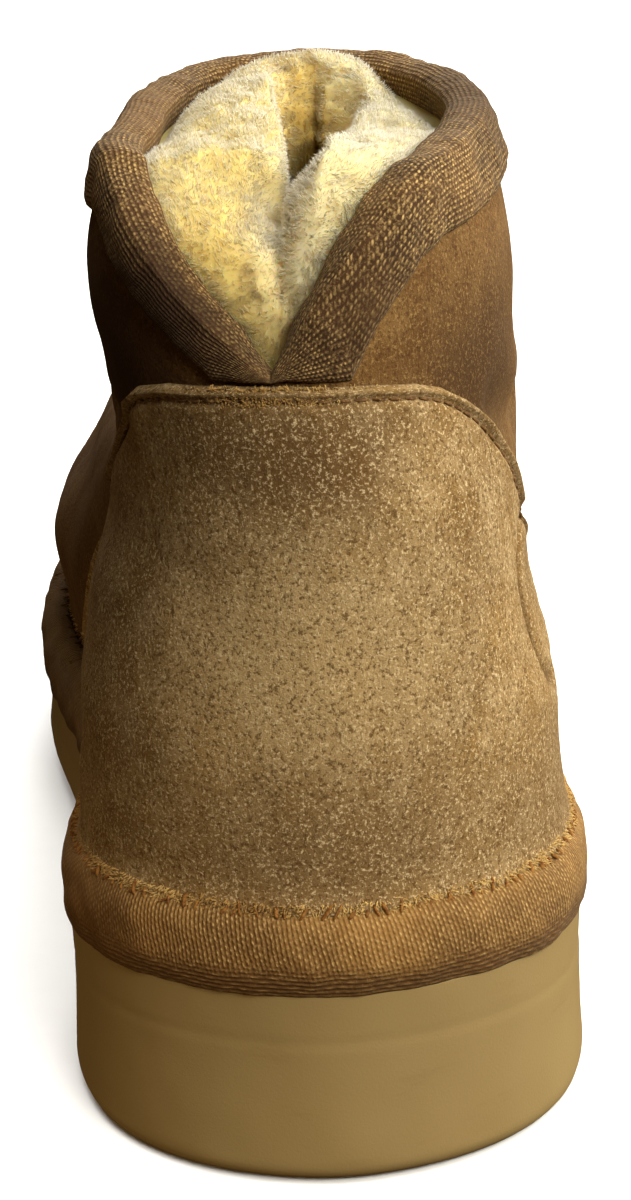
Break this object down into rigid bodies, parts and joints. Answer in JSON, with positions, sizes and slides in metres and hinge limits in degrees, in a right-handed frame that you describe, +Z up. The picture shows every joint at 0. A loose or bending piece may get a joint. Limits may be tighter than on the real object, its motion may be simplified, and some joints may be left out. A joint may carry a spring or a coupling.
{
  "type": "slipper boot",
  "caption": "Low sheepskin slipper boot for the right foot: wool-lined suede upper with a notched taped collar, heel overlay, taped rand and a foam platform sole.",
  "frame": {"origin": "centre of the boot's bounding box in plan, at ground level", "axes": "+Z up, +Y from heel to toe, +X to the outer side of a right foot"},
  "size_m": [0.0995, 0.2724, 0.1553],
  "materials": {
    "outsole": "matte moulded foam",
    "rand": "padded woven tape",
    "upper": "sheepskin: suede outside, wool inside",
    "heel_counter": "suede",
    "collar_binding": "woven tape",
    "insole": "wool"
  },
  "bodies": {
    "root": {"outsole": "outsole", "rand": "rand", "upper": "upper", "heel_counter": "heel_counter", "collar_binding": "collar_binding", "insole": "insole"}
  },
  "joints": []
}
